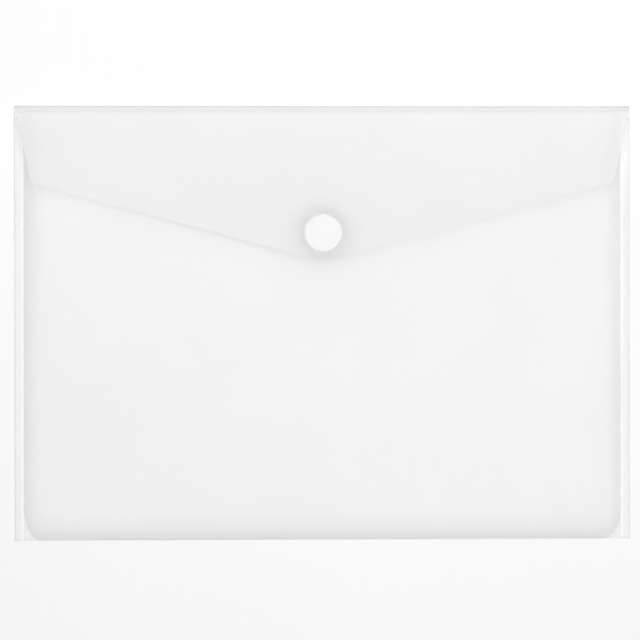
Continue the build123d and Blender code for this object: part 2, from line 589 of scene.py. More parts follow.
@dataclass(frozen=True)
class Finish:
    """A surface with clouded tone, roll lines and grain, which may pass light through it."""

    name: str
    dark: Triple
    light: Triple
    smoothest: float
    roughest: float
    grain: float
    grain_depth: float
    grain_strength: float = 0.5
    lines: float = 260.0
    line_stretch: Triple = (1.0, 0.03, 1.0)
    clouds: float = 22.0
    cover: float = 1.0
    edge_cover: float = 0.7
    aslant: float = 0.6
    # A denser, greyer film where it slopes: painted shade on the slopes
    slope_shade_cover: float = 0.0
    slope_shade_colour: Triple = (0.84, 0.84, 0.84)
    full_bend: float = 0.06
    glow: float = 0.0
    through: Triple = (0.970, 0.971, 0.973)
    sheen: float = 0.0
    index: float = 1.49

    def material(self, effects: Effects) -> Material:
        """Build the material.

        Args:
            effects: Holds the shared grain.

        Returns:
            The material.
        """
        made, tree, shader = new_material(self.name)
        feed(tree, shader, {"IOR": self.index, "Sheen Weight": self.sheen})
        where = add_node(tree, "TexCoord", {}).outputs["Object"]
        stretch = add_node(tree, "Mapping", {"Vector": where, "Scale": self.line_stretch})
        inputs = {
            "Vector": where,
            "Stretched": stretch.outputs["Vector"],
            "Grain Scale": self.grain,
            "Line Scale": self.lines,
            "Cloud Scale": self.clouds,
            "Dark": (*self.dark, 1.0),
            "Light": (*self.light, 1.0),
            "Smoothest": self.smoothest,
            "Roughest": self.roughest,
        }
        grain = add_node(tree, "Group", inputs, node_tree=effects.grain)
        feed(tree, shader, {"Roughness": grain.outputs["Roughness"]})
        cover_with(tree, shader, grain, self.grain_depth, self.grain_strength)
        if self.cover < 1:
            self.thin(tree, shader)
        if self.glow:
            pass_light(tree, shader, self.through, self.glow)
        return made

    def thin(self, tree: Tree, shader: Node) -> None:
        """Let the surface cover what is behind it, and more of it where it is seen edge on.

        Args:
            tree: The material's nodes.
            shader: The shader of the surface itself.
        """
        angle = add_node(tree, "LayerWeight", {}).outputs["Facing"]
        inputs = {
            "Value": angle,
            "From Min": self.aslant,
            "To Min": self.paint_slope_shade(tree, shader) if self.slope_shade_cover else self.cover,
            "To Max": max(self.cover, self.edge_cover),
        }
        feed(tree, shader, {"Alpha": add_node(tree, "MapRange", inputs).outputs["Result"]})

    def paint_slope_shade(self, tree: Tree, shader: Node) -> Socket:
        """Paint shade on the film where it slopes: greyer and denser the more it tilts out of the
        flat.

        Args:
            tree: The material's nodes.
            shader: The shader of the surface itself.

        Returns:
            The socket that gives how much the film covers.
        """
        bend = add_node(tree, "Attribute", {}, attribute_name=BEND).outputs["Fac"]
        inputs = {"Value": bend, "From Max": self.full_bend}
        share = add_node(tree, "MapRange", inputs).outputs["Result"]
        # Painted shade: the base colour is mixed towards grey by the tilt
        colour = shader.inputs["Base Color"].links[0].from_socket
        inputs = {"Factor": share, "A": colour, "B": (*self.slope_shade_colour, 1.0)}
        tint = add_node(tree, "Mix", inputs, data_type="RGBA")
        feed(tree, shader, {"Base Color": tint.outputs["Result"]})
        inputs = {0: share, 1: self.slope_shade_cover - self.cover, 2: self.cover}
        return add_node(tree, "Math", inputs, operation="MULTIPLY_ADD").outputs["Value"]


@dataclass(frozen=True)
class WovenFinish:
    """Woven nylon tape."""

    name: str
    dark: Triple
    light: Triple
    roughness: float
    threads: float
    thread_depth: float
    glow: float
    thread_strength: float = 1.0
    sheen: float = 0.3

    def material(self, effects: Effects) -> Material:
        """Build the material.

        Args:
            effects: Holds the shared weave.

        Returns:
            The material.
        """
        made, tree, shader = new_material(self.name)
        feed(tree, shader, {"Roughness": self.roughness, "Sheen Weight": self.sheen})
        inputs = {
            "Vector": add_node(tree, "TexCoord", {}).outputs["Object"],
            "Thread Scale": self.threads,
            "Dark": (*self.dark, 1.0),
            "Light": (*self.light, 1.0),
        }
        weave = add_node(tree, "Group", inputs, node_tree=effects.weave)
        cover_with(tree, shader, weave, self.thread_depth, self.thread_strength)
        pass_light(tree, shader, self.light, self.glow)
        return made


# The frosted film is painted greyer and denser where it slopes, as shade
FROSTED = Finish(
    name="frosted_film", dark=(0.955, 0.957, 0.960), light=(0.980, 0.981, 0.983),
    smoothest=0.38, roughest=0.52, grain=2600.0, grain_depth=0.02 * MM,
    cover=0.45, slope_shade_cover=0.58, glow=0.72,
)
# Painted shade: a dark strip along the film's cut edges stands for the shadow line round the edges
# and under the flap's V edge
PAINTED_EDGE_SHADE = Finish(
    name="painted_edge_shade", dark=(0.650, 0.652, 0.655), light=(0.730, 0.731, 0.733),
    smoothest=0.42, roughest=0.60, grain=3200.0, grain_depth=0.02 * MM,
    cover=0.36, glow=0.05,
)
PRESSED = Finish(
    name="pressed_margin", dark=(0.900, 0.901, 0.903), light=(0.925, 0.925, 0.926),
    smoothest=0.22, roughest=0.36, grain=2200.0, grain_depth=0.01 * MM,
    cover=0.14, glow=0.45,
)
INNER = Finish(
    name="film_inside", dark=(0.960, 0.962, 0.965), light=(0.985, 0.986, 0.987),
    smoothest=0.22, roughest=0.34, grain=1400.0, grain_depth=0.006 * MM,
    cover=0.02,
)
WELDED = Finish(
    name="fused_weld", dark=(0.950, 0.952, 0.955), light=(0.985, 0.986, 0.988),
    smoothest=0.16, roughest=0.30, grain=1800.0, grain_depth=0.01 * MM,
    cover=0.05, glow=0.04,
)
# Painted shade: the crease strip along the top edge is coloured dark to stand for the shade in the
# fold
PAINTED_CREASE_SHADE = Finish(
    name="crease_painted_shade", dark=(0.620, 0.622, 0.625), light=(0.690, 0.691, 0.693),
    smoothest=0.42, roughest=0.60, grain=3200.0, grain_depth=0.03 * MM,
    cover=0.5, glow=0.1,
)
ACRYLIC = Finish(
    name="acrylic_adhesive", dark=(0.970, 0.969, 0.962), light=(0.988, 0.987, 0.982),
    smoothest=0.08, roughest=0.22, grain=900.0, grain_depth=0.015 * MM, clouds=420.0,
    cover=0.2,
)
HOOKED = Finish(
    name="nylon_hooks", dark=(0.950, 0.950, 0.946), light=(0.980, 0.980, 0.977),
    smoothest=0.25, roughest=0.42, grain=5200.0, grain_depth=0.008 * MM, clouds=700.0,
    glow=0.15,
)
NAPPED = Finish(
    name="nylon_loops", dark=(0.960, 0.960, 0.958), light=(0.988, 0.988, 0.987),
    smoothest=0.70, roughest=0.95, grain=6500.0, grain_depth=0.012 * MM, clouds=600.0,
    sheen=0.4, glow=0.15,
)
WOVEN = WovenFinish(
    name="woven_tape", dark=(0.825, 0.825, 0.824), light=(0.865, 0.865, 0.864),
    roughness=0.82, threads=900.0, thread_depth=0.05 * MM, glow=0.12,
)
PAPER = Finish(
    name="pale_floor", dark=(0.715, 0.715, 0.715), light=(0.735, 0.735, 0.735),
    smoothest=0.75, roughest=0.90, grain=700.0, grain_depth=0.01 * MM, clouds=3.0,
)


class Palette:
    """Every finish as a material, built once."""

    def __init__(self) -> None:
        """Build the shared effects, then the materials."""
        effects = Effects()
        self.frosted = FROSTED.material(effects)
        self.pressed = PRESSED.material(effects)
        self.painted_edge_shade = PAINTED_EDGE_SHADE.material(effects)
        self.inner = INNER.material(effects)
        self.welded = WELDED.material(effects)
        # The crease finish is dark as painted shade along the top edge
        self.scored = PAINTED_CREASE_SHADE.material(effects)
        self.acrylic = ACRYLIC.material(effects)
        self.hooked = HOOKED.material(effects)
        self.napped = NAPPED.material(effects)
        self.woven = WOVEN.material(effects)
        self.paper = PAPER.material(effects)


@dataclass(frozen=True)
class Dent:
    """A shallow buckle where the film is gathered round a corner."""

    x: float
    y: float
    across: float
    along: float
    depth: float

    def at(self, x: float, y: float) -> float:
        """How deep the dent is at a point of the front."""
        away = ((x - self.x) / self.across) ** 2 + ((y - self.y) / self.along) ** 2
        return self.depth * math.exp(-away)


@dataclass
class Pocket:
    """Back, bottom fold, raised front and side welds, which move as one body."""

    palette: Palette
    # The slopes round the raised front
    foot_inset: float = 5.5 * MM
    side_run: float = 8.5 * MM
    mouth_side_run: float = 12.0 * MM
    bottom_run: float = 14.0 * MM
    corner_share: float = 1.14
    foot_softness: float = 40.0
    # The width of the painted edge shade along the film's edges, and the gaps between pieces
    edge_width: float = 0.45 * MM
    seam_gap: float = 0.01 * MM
    slot_gap: float = 0.05 * MM
    back_setback: float = 0.3 * MM
    # The faint waves on the raised front, which is still round the coin
    wave_height: float = 0.12 * MM
    wave_across: float = 31 * MM
    wave_along: float = 37 * MM
    wave_aslant: float = 23 * MM
    across_start: float = 0.8
    along_start: float = -0.4
    aslant_share: float = 0.6
    flat_from_share: float = 0.3
    still_radius: float = 14 * MM
    wavy_radius: float = 60 * MM
    # The loose edges outside the welds
    margin_lift: float = 0.05 * MM
    lift_share: float = 0.5
    long_share: float = 0.3
    long_ripple: float = 19 * MM
    short_share: float = 0.2
    short_ripple: float = 7.3 * MM
    ripple_rise: float = 25 * MM
    # The welds
    bar_drop: float = 0.02 * MM
    rib_rise: float = 0.08 * MM
    rib_sink: float = 0.01 * MM
    rib_pitch: float = 1.05 * MM
    rib_share: float = 0.68
    rib_width_share: float = 0.9
    rib_bevel: float = 0.035 * MM
    rib_bevel_steps: int = 2
    # The steps of the grids, which are close where the film bends
    flat_step: float = 24 * MM
    front_step: float = 4.0 * MM
    margin_step: float = 0.6 * MM
    slope_step: float = 0.55 * MM
    foot_step: float = 0.25 * MM
    side_foot: float = 1.4 * MM
    bottom_foot: float = 1.6 * MM
    slope_spare: float = 2 * MM
    roll_steps: int = 12
    dents: tuple[Dent, ...] = (
        Dent(-156.3 * MM, -107.5 * MM, 3.6 * MM, 4.2 * MM, 0.75 * MM),
        Dent(153.7 * MM, -110.2 * MM, 3.2 * MM, 3.4 * MM, 0.70 * MM),
        Dent(142.0 * MM, -114.2 * MM, 5.0 * MM, 2.4 * MM, 0.45 * MM),
    )

    def __post_init__(self) -> None:
        """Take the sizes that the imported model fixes."""
        back_low, back_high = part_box("back_panel")
        front_low, front_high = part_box("front_panel")
        self.thickness = back_high.z - back_low.z
        self.half_width = back_high.x
        self.bottom_y = back_low.y
        self.back_top_y = back_high.y
        self.mouth_y = front_high.y
        self.back_z = (back_low.z + back_high.z) / 2
        self.rim_z = front_low.z + self.thickness / 2
        self.rise = front_high.z - front_low.z - self.thickness
        self.weld_low, self.weld_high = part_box("right_side_weld")
        self.slot_inner = self.weld_low.x - self.slot_gap
        self.slot_outer = self.weld_high.x + self.slot_gap
        coin_low, coin_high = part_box("hook_tape")
        self.coin = (coin_low + coin_high) / 2

    def slope_share(self, x: float, y: float) -> float:
        """How far up the slope a point of the front is.

        Args:
            x: Its place across.
            y: Its place along.

        Returns:
            0 or less at the foot of the slope and outside it, and 1 or more on the flat.
        """
        to_mouth = smooth_share(y, self.bottom_y, self.mouth_y)
        run = self.side_run + (self.mouth_side_run - self.side_run) * to_mouth
        from_side = (self.half_width - self.foot_inset - abs(x)) / run
        from_bottom = (y - self.bottom_y) / self.bottom_run
        side_left, bottom_left = self.corner_share - from_side, self.corner_share - from_bottom
        if side_left > 0 and bottom_left > 0:
            return self.corner_share - math.hypot(side_left, bottom_left)
        return min(from_side, from_bottom)

    def wave(self, x: float, y: float) -> float:
        """How far the film waves up or down at a point of the raised front.

        Args:
            x: Its place across.
            y: Its place along.

        Returns:
            The lift, none round the coin.
        """
        across = math.sin(x / self.wave_across + self.across_start)
        along = math.sin(y / self.wave_along + self.along_start)
        aslant = self.aslant_share * math.sin((x - y) / self.wave_aslant)
        from_coin = math.hypot(x - self.coin.x, y - self.coin.y)
        free = smooth_share(from_coin, self.still_radius, self.wavy_radius)
        return self.wave_height * (across * along + aslant) * free

    def margin_height(self, x: float, y: float) -> float:
        """How far the loose edge outside a weld stands off the back film.

        Args:
            x: Its place across.
            y: Its place along.

        Returns:
            The lift, none at the weld and inside it.
        """
        out = max(0.0, (abs(x) - self.slot_outer) / (self.half_width - self.slot_outer))
        long = self.long_share * math.sin(y / self.long_ripple + x / self.half_width)
        ripple = self.lift_share + long + self.short_share * math.sin(y / self.short_ripple)
        from_bottom = smooth_share(y, self.bottom_y, self.bottom_y + self.ripple_rise)
        return self.margin_lift * ripple * out * out * from_bottom

    def front_height(self, x: float, y: float) -> float:
        """The height of the middle of the front film.

        Args:
            x: Its place across.
            y: Its place along.

        Returns:
            The height above the floor.
        """
        steep = self.foot_softness
        share = math.log1p(math.exp(steep * self.slope_share(x, y))) / steep
        radius = (self.side_run**2 + self.rise**2) / (2 * self.rise)
        left = self.side_run * max(0.0, 1 - share)
        height = self.rim_z + self.rise - radius + math.sqrt(radius**2 - left**2)
        dents = sum(dent.at(x, y) for dent in self.dents)
        on_flat = smooth_share(share, self.flat_from_share, 1.0)
        return height + (self.wave(x, y) - dents) * on_flat + self.margin_height(x, y)

    def thicken_panel(self, piece: Piece, film: Material, margin: Material) -> None:
        """Thicken a panel, with finishes of their own on its margins and, along its cut edges, a
        dark strip of painted edge shade.

        Args:
            piece: The formed panel.
            film: The finish between the margins.
            margin: The finish of the flat strips outside the slopes.
        """
        for face in piece.data.polygons:
            from_edge = self.half_width - abs(face.center.x)
            outwards = (from_edge < self.foot_inset) + (from_edge < self.edge_width)
            face.material_index = WALL_FACES * outwards
        inner, edge = self.palette.inner, self.palette.painted_edge_shade
        thicken(piece, self.thickness, film, inner, margin, inner, edge, inner)
        smooth(piece)

    def build_back(self) -> None:
        """Form the flat back film."""
        side, edge = self.half_width, self.half_width - self.edge_width
        half = stations((-side, -edge, self.edge_width), (-edge, 0.0, self.flat_step))
        bottom, top = self.bottom_y + self.seam_gap, self.back_top_y - self.back_setback
        rows = stations((bottom, top, self.flat_step))
        piece = formed_grid(
            "back_sheet", mirrored(half), rows, lambda x, y: Vector((x, y, self.back_z))
        )
        turn_over(piece)
        self.thicken_panel(piece, self.palette.frosted, self.palette.frosted)
        dress(piece, Slot.SHEET, ["back_panel"])
        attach(piece, Body.POCKET.value)

    def build_bottom_roll(self) -> None:
        """Form the fold that takes the film round from the back to the front."""
        radius = (self.rim_z - self.back_z) / 2
        columns = stations((-self.half_width, self.half_width, self.flat_step))
        angles = [math.pi * i / self.roll_steps for i in range(self.roll_steps + 1)]

        def place(x: float, angle: float) -> Vector:
            """The point of the fold at an angle from the back."""
            out, up = radius * math.sin(angle), radius * (1 - math.cos(angle))
            return Vector((x, self.bottom_y - out, self.back_z + up))

        piece = formed_grid("bottom_roll", columns, angles, place)
        turn_over(piece)
        thicken(piece, self.thickness, self.palette.frosted, self.palette.inner)
        smooth(piece)
        dress(piece, Slot.SHEET, ["bottom_fold"])
        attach(piece, Body.POCKET.value)

    def build_front(self) -> None:
        """Form the raised front film, slit where the welds are fused into it."""
        side, edge = self.half_width, self.half_width - self.edge_width
        inner, outer = self.slot_inner, self.slot_outer
        foot = self.half_width - self.foot_inset
        half = stations(
            (-side, -edge, self.edge_width),
            (-edge, -outer, self.margin_step),
            (-outer, -inner, outer - inner),
            (-inner, -foot + self.side_foot, self.foot_step),
            (-foot + self.side_foot, -foot + self.mouth_side_run, self.slope_step),
            (-foot + self.mouth_side_run, 0.0, self.front_step),
        )
        foot_end = self.bottom_y + self.bottom_foot
        slope_end = self.bottom_y + self.bottom_run + self.slope_spare
        rows = stations(
            (self.bottom_y + self.seam_gap, foot_end, self.foot_step),
            (foot_end, slope_end, self.slope_step),
            (slope_end, self.mouth_y, self.front_step),
        )
        piece = formed_grid(
            "front_sheet",
            mirrored(half),
            rows,
            lambda x, y: Vector((x, y, self.front_height(x, y))),
        )
        select_faces(piece, lambda face: inner < abs(face.center.x) < outer)
        bpy.ops.mesh.delete(type="FACE")
        leave_edit()
        mark_bends(piece)
        self.thicken_panel(piece, self.palette.frosted, self.palette.pressed)
        dress(piece, Slot.SHEET, ["front_panel"])
        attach(piece, Body.POCKET.value)

    def build_weld(self, side: Side) -> None:
        """Model one rib of a weld, repeat it along the side and join it to its bar.

        Args:
            side: The side of the wallet.
        """
        low, high = self.weld_low, self.weld_high
        width, length = high.x - low.x, high.y - low.y
        x = side.value * (low.x + high.x) / 2
        foot, bar_top = low.z + self.seam_gap, self.rim_z - self.bar_drop
        rib_height = self.rim_z + self.rib_rise - bar_top
        rib_z = bar_top + rib_height / 2 - self.rib_sink
        name = side.name.lower()
        bar = block(
            f"{name}_weld_bar",
            (x, (low.y + high.y) / 2, (foot + bar_top) / 2),
            (width, length, bar_top - foot),
        )
        rib = block(
            "rib",
            (x, low.y + self.rib_pitch / 2, rib_z),
            (width * self.rib_width_share, self.rib_pitch * self.rib_share, rib_height),
        )
        apply_modifier(
            rib, "round", "BEVEL", width=self.rib_bevel, segments=self.rib_bevel_steps
        )
        apply_modifier(
            rib,
            "row",
            "ARRAY",
            count=int(length / self.rib_pitch),
            use_relative_offset=False,
            use_constant_offset=True,
            constant_offset_displace=(0.0, self.rib_pitch, 0.0),
        )
        select_only(bar, rib)
        bpy.ops.object.join()
        smooth(bar)
        dress(bar, Slot.WELD, [f"{name}_side_weld"], self.palette.welded)
        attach(bar, Body.POCKET.value)

    def build(self) -> None:
        """Build every piece of the pocket."""
        self.build_back()
        self.build_bottom_roll()
        self.build_front()
        for side in Side:
            self.build_weld(side)


@dataclass(frozen=True)
class FlapShape:
    """The run of the flap from the upper crease to its point."""

    crease_y: float
    crease_z: float
    level_z: float
    coin_x: float
    coin_y: float
    coin_radius: float
    knee_margin: float = 12.0 * MM
    bend_radius: float = 380.0 * MM
    edge_droop: float = 0.2 * MM
    level_share: float = 1.3
    droop_radius: float = 75 * MM
    side_droop: float = 0.6 * MM
    side_start: float = 118 * MM
    side_end: float = 162 * MM
    crease_land: float = 3 * MM

    @classmethod
    def from_frame(cls) -> "FlapShape":
        """Take the heights and the coin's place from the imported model.

        Returns:
            The shape of the flap.
        """
        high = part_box("flap_panel")[1]
        back_low, back_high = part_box("back_panel")
        coin_low, coin_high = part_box("loop_tape")
        crease = joint_place("flap_hinge")
        level_z = high.z - (back_high.z - back_low.z) / 2
        coin = (coin_low + coin_high) / 2
        return cls(crease.y, crease.z, level_z, coin.x, coin.y, (coin_high.x - coin_low.x) / 2)

    @property
    def knee(self) -> float:
        """Where the rise meets the level end, before the bend is rounded."""
        return self.coin_y + self.coin_radius + self.knee_margin

    @property
    def slope(self) -> float:
        """How much the flap rises for each step away from the crease."""
        return (self.level_z - self.crease_z) / (self.crease_y - self.knee)

    def rise_height(self, y: float) -> float:
        """The height of the flap's middle along its centre line.

        Args:
            y: The place along.

        Returns:
            The height, with a large bend between the rise and the level end.
        """
        half_bend = self.bend_radius * self.slope / 2
        if y > self.knee + half_bend:
            return self.crease_z + (self.crease_y - y) * self.slope
        return self.level_z - max(0.0, y - self.knee + half_bend) ** 2 / (2 * self.bend_radius)

    def height(self, x: float, y: float) -> float:
        """The height of the flap's middle, which droops away from the coin and at its sides.

        Args:
            x: The place across.
            y: The place along.

        Returns:
            The height above the floor.
        """
        from_coin = math.hypot(x - self.coin_x, y - self.coin_y)
        away = smooth_share(from_coin, self.level_share * self.coin_radius, self.droop_radius)
        side = smooth_share(abs(x), self.side_start, self.side_end)
        reach = self.crease_y - self.coin_y
        free = smooth_share(self.crease_y - y, self.crease_land, reach)
        return self.rise_height(y) - (self.edge_droop * away + self.side_droop * side) * free


@dataclass
class TopFold:
    """The two scored bends at the top and the narrow spine between them."""

    palette: Palette
    lower_radius: float = 0.2 * MM
    lower_steps: int = 10
    upper_radius: float = 4.0 * MM
    upper_steps: int = 16
    columns: int = 14
    flap_side_taper: float = 8.8 / 42.7
    flap_base_half_width: float = 166.5 * MM
    back_overlap: float = 0.29 * MM
    crease_share: float = 0.3
    seam_share: float = 0.004
    spine_inset: float = 0.7 * MM
    flap_land: float = 2.4 * MM

    def __post_init__(self) -> None:
        """Take the crease axes and the film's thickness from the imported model."""
        back_low, back_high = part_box("back_panel")
        self.thickness = back_high.z - back_low.z
        self.half_width = back_high.x
        self.spine_half_width = self.half_width - self.spine_inset
        back_z = (back_low.z + back_high.z) / 2
        self.back_end = Vector((0.0, back_high.y - self.back_overlap, back_z))
        self.lower = joint_place("spine_hinge")
        self.upper = joint_place("flap_hinge")
        self.middle = self.lower.lerp(self.upper, self.crease_share)
        self.top_y = CAD_HIGH.y
        start_y = self.upper.y - self.flap_land
        self.flap_start = Vector((0.0, start_y, FlapShape.from_frame().rise_height(start_y)))

    def flap_half_width(self, y: float) -> float:
        """Half of the flap's width between its tapered sides."""
        return self.flap_base_half_width - (self.top_y - y) * self.flap_side_taper

    def strip(
        self, name: str, path: Sequence[Vector], halves: tuple[float, float], film: Material
    ) -> Piece:
        """Form a strip of film along a path, with its outer side up or away from the pocket.

        Args:
            name: The name of the piece.
            path: The points of its middle, in the plane of Y and Z.
            halves: Half of its width at the first point and at the last.
            film: The finish of its outer side.

        Returns:
            The strip, with its thickness.
        """
        columns = stations((-1.0, 1.0, 2 / self.columns))
        reach = [0.0]
        for one, two in zip(path, path[1:]):
            reach.append(reach[-1] + (two - one).length)

        def place(across: float, row: float) -> Vector:
            """The point of the strip at a share of its width."""
            half = halves[0] + (halves[1] - halves[0]) * reach[int(row)] / reach[-1]
            return Vector((across * half, path[int(row)].y, path[int(row)].z))

        piece = formed_grid(name, columns, [float(i) for i in range(len(path))], place)
        turn_over(piece)
        mark_bends(piece)
        thicken(piece, self.thickness, film, self.palette.inner)
        smooth(piece)
        return piece

    def build_lower(self) -> None:
        """Form the tight bend between the back and the spine."""
        bend = rounded_corner(
            self.back_end, self.lower, self.middle, self.lower_radius, self.lower_steps
        )
        path = [self.back_end, *bend, self.middle]
        halves = self.half_width, self.spine_half_width
        # The lower roll takes the dark crease finish, painted shade along the top edge
        piece = self.strip("lower_roll", path, halves, self.palette.scored)
        dress(piece, Slot.CREASE, ["lower_crease"])
        start, end = tuple(bend[0]), tuple(bend[-1])
        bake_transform(piece)
        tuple(start)
        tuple(end)

    def build_upper(self) -> None:
        """Form the soft bend between the spine and the flap."""
        ahead = self.flap_start
        bend = rounded_corner(self.middle, self.upper, ahead, self.upper_radius, self.upper_steps)
        path = [self.middle.lerp(self.upper, self.seam_share), *bend, ahead]
        halves = self.spine_half_width, self.flap_half_width(ahead.y)
        piece = self.strip("upper_roll", path, halves, self.palette.frosted)
        dress(piece, Slot.SHEET, ["spine_strip", "upper_crease"])
        start, end = tuple(bend[0]), tuple(bend[-1])
        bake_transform(piece)
        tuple(start)
        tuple(end)

    def build(self) -> None:
        """Build both bends."""
        self.build_lower()
        self.build_upper()


@dataclass
class Flap:
    """The film of the flap, with tapered sides and a shallow V edge."""

    palette: Palette
    fold: TopFold
    corner_half_width: float = 157.7 * MM
    corner_depth: float = 42.7 * MM
    corner_radius: float = 4.5 * MM
    corner_steps: int = 9
    point_depth: float = 85.0 * MM
    tip_radius: float = 75.0 * MM
    tip_steps: int = 16
    slant_steps: int = 32
    # Width of the painted edge shade along the free edge and the sides
    edge_width: float = 0.45 * MM
    seam_gap: float = 0.01 * MM
    end_share: float = 0.1
    end_step: float = 0.02
    middle_step: float = 0.04

    def free_edge(self) -> list[Vector]:
        """Follow the flap's edge from its left side over the corners and the point to its right.

        Returns:
            The points of the edge, seen from above.
        """
        top = self.fold.top_y
        base = Vector((self.fold.flap_base_half_width, top, 0.0))
        corner = Vector((self.corner_half_width, top - self.corner_depth, 0.0))
        point = Vector((0.0, top - self.point_depth, 0.0))
        across = Matrix.Diagonal((-1.0, 1.0, 1.0))
        right = rounded_corner(point, corner, base, self.corner_radius, self.corner_steps)
        tip = rounded_corner(across @ corner, point, corner, self.tip_radius, self.tip_steps)
        steps = range(1, self.slant_steps)
        half = [*(tip[-1].lerp(right[0], i / self.slant_steps) for i in steps), *right]
        return [*(across @ place for place in reversed(half)), *tip, *half]

    def mark_edge(self, piece: Piece, edge: Sequence[Vector]) -> None:
        """Give the faces along the free edge and the sides a dark inner face of painted edge
        shade.

        Args:
            piece: The formed flap.
            edge: The points of its free edge.
        """
        ends = {(round(place.x / MM, 3), round(place.y / MM, 3)) for place in edge}
        for face in piece.data.polygons:
            from_side = self.fold.flap_half_width(face.center.y) - abs(face.center.x)
            corners = [piece.data.vertices[index].co / MM for index in face.vertices]
            at_end = any((round(one.x, 3), round(one.y, 3)) in ends for one in corners)
            face.material_index = WALL_FACES * (at_end or from_side < self.edge_width)

    def build(self) -> None:
        """Form the flap between the upper bend and its free edge."""
        shape = FlapShape.from_frame()
        edge = self.free_edge()
        start_y = self.fold.flap_start.y - self.seam_gap
        start_half = self.fold.flap_half_width(start_y)
        widest = edge[-1].x

        def place(column: float, share: float) -> Vector:
            """The point of the flap on a line from the bend to its free edge.

            Args:
                column: The number of the line.
                share: How far along it is: 1 where the edge strip starts, and 2 at the edge.

            Returns:
                The point, at the flap's height.
            """
            free = edge[int(column)]
            first = Vector((free.x / widest * start_half, start_y, 0.0))
            inside = free.lerp(first, self.edge_width / (first - free).length)
            flat = free if share > 1 else first.lerp(inside, share)
            return Vector((flat.x, flat.y, shape.height(flat.x, flat.y)))

        near, far = self.end_share, 1 - self.end_share
        rows = stations(
            (2.0, 1.0, 1.0),
            (1.0, far, self.end_step),
            (far, near, self.middle_step),
            (near, 0.0, self.end_step),
        )
        piece = formed_grid("flap_sheet", [float(i) for i in range(len(edge))], rows, place)
        self.mark_edge(piece, edge)
        # The edge strip's inner face takes the dark finish of painted edge shade
        film, inner, cut = self.palette.frosted, self.palette.inner, self.palette.painted_edge_shade
        thicken(piece, self.fold.thickness, film, inner, film, cut)
        smooth(piece)
        dress(piece, Slot.SHEET, ["flap_panel"])
        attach(piece, Body.FLAP.value)


@dataclass
class Strand:
    """One thin nylon strand, drawn up from a small filled circle at the origin."""

    sides: int
    radius: float
    merge_gap: float = 0.001 * MM

    def __post_init__(self) -> None:
        """Add the circle and stay in edit mode with it selected."""
        deselect_all()
        bpy.ops.mesh.primitive_circle_add(
            vertices=self.sides, radius=self.radius, fill_type="NGON"
        )
        bpy.context.tool_settings.mesh_select_mode = (False, False, True)
        bpy.ops.object.mode_set(mode="EDIT")
        bpy.ops.mesh.select_all(action="SELECT")

    def draw_up(self, height: float) -> None:
        """Extrude the selected end in two steps."""
        for _ in range(2):
            step = {"value": (0.0, 0.0, height / 2)}
            bpy.ops.mesh.extrude_region_move(TRANSFORM_OT_translate=step)

    def curl(self, centre: Triple, angle_deg: float, steps: int) -> None:
        """Spin the selected end about an axis along Y."""
        angle = math.radians(angle_deg)
        bpy.ops.mesh.spin(steps=steps, angle=angle, center=centre, axis=(0.0, 1.0, 0.0))

    def end(self, name: str) -> Piece:
        """Close the strand's faces, turn them outwards and leave edit mode.

        Args:
            name: The name of the strand.

        Returns:
            The strand, standing on the origin.
        """
        bpy.ops.mesh.select_all(action="SELECT")
        bpy.ops.mesh.remove_doubles(threshold=self.merge_gap)
        bpy.ops.mesh.normals_make_consistent(inside=False)
        leave_edit()
        piece = bpy.context.object
        piece.name = name
        return piece


